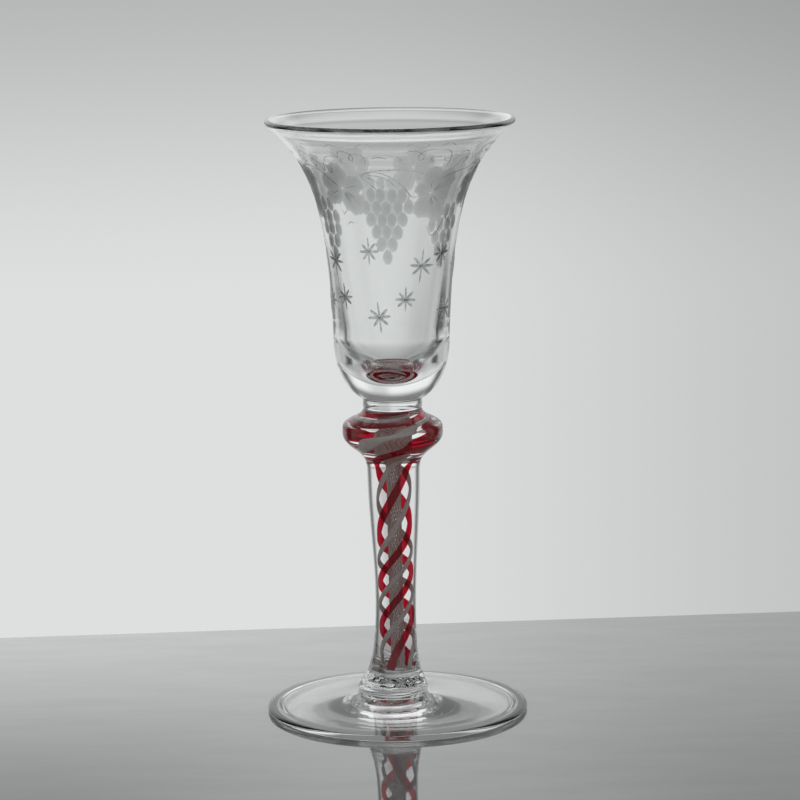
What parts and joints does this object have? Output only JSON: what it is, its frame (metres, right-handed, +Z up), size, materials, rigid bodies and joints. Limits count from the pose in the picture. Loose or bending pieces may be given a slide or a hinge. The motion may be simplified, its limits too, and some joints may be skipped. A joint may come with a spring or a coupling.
{
  "type": "colour twist wine glass",
  "caption": "Stemmed wine glass with a flared bell bowl, a shoulder-knopped stem holding red and white twisted tapes round a gauze column, and a conical foot.",
  "frame": {"origin": "on the glass's axis, in the plane that the foot rests on", "axes": "+Z up along the axis, from the foot to the rim; the red tape crosses the front, -Y, low on the stem"},
  "size_m": [0.074, 0.074, 0.1689],
  "materials": {
    "clear_glass": "polished clear lead crystal",
    "red_glass": "translucent ruby glass sealed in clear glass",
    "white_glass": "opaque white glass sealed in clear glass"
  },
  "bodies": {
    "root": {"foot": "clear_glass", "stem_casing": "clear_glass", "stem_core": "clear_glass", "centre_rod": "clear_glass", "bowl": "clear_glass", "red_tape_1": "red_glass", "red_tape_2": "red_glass", "white_tape_1": "white_glass", "white_tape_2": "white_glass", "gauze_thread_1": "white_glass", "gauze_thread_2": "white_glass", "gauze_thread_3": "white_glass", "gauze_thread_4": "white_glass", "gauze_thread_5": "white_glass", "gauze_thread_6": "white_glass", "gauze_thread_7": "white_glass", "gauze_thread_8": "white_glass"}
  },
  "joints": []
}
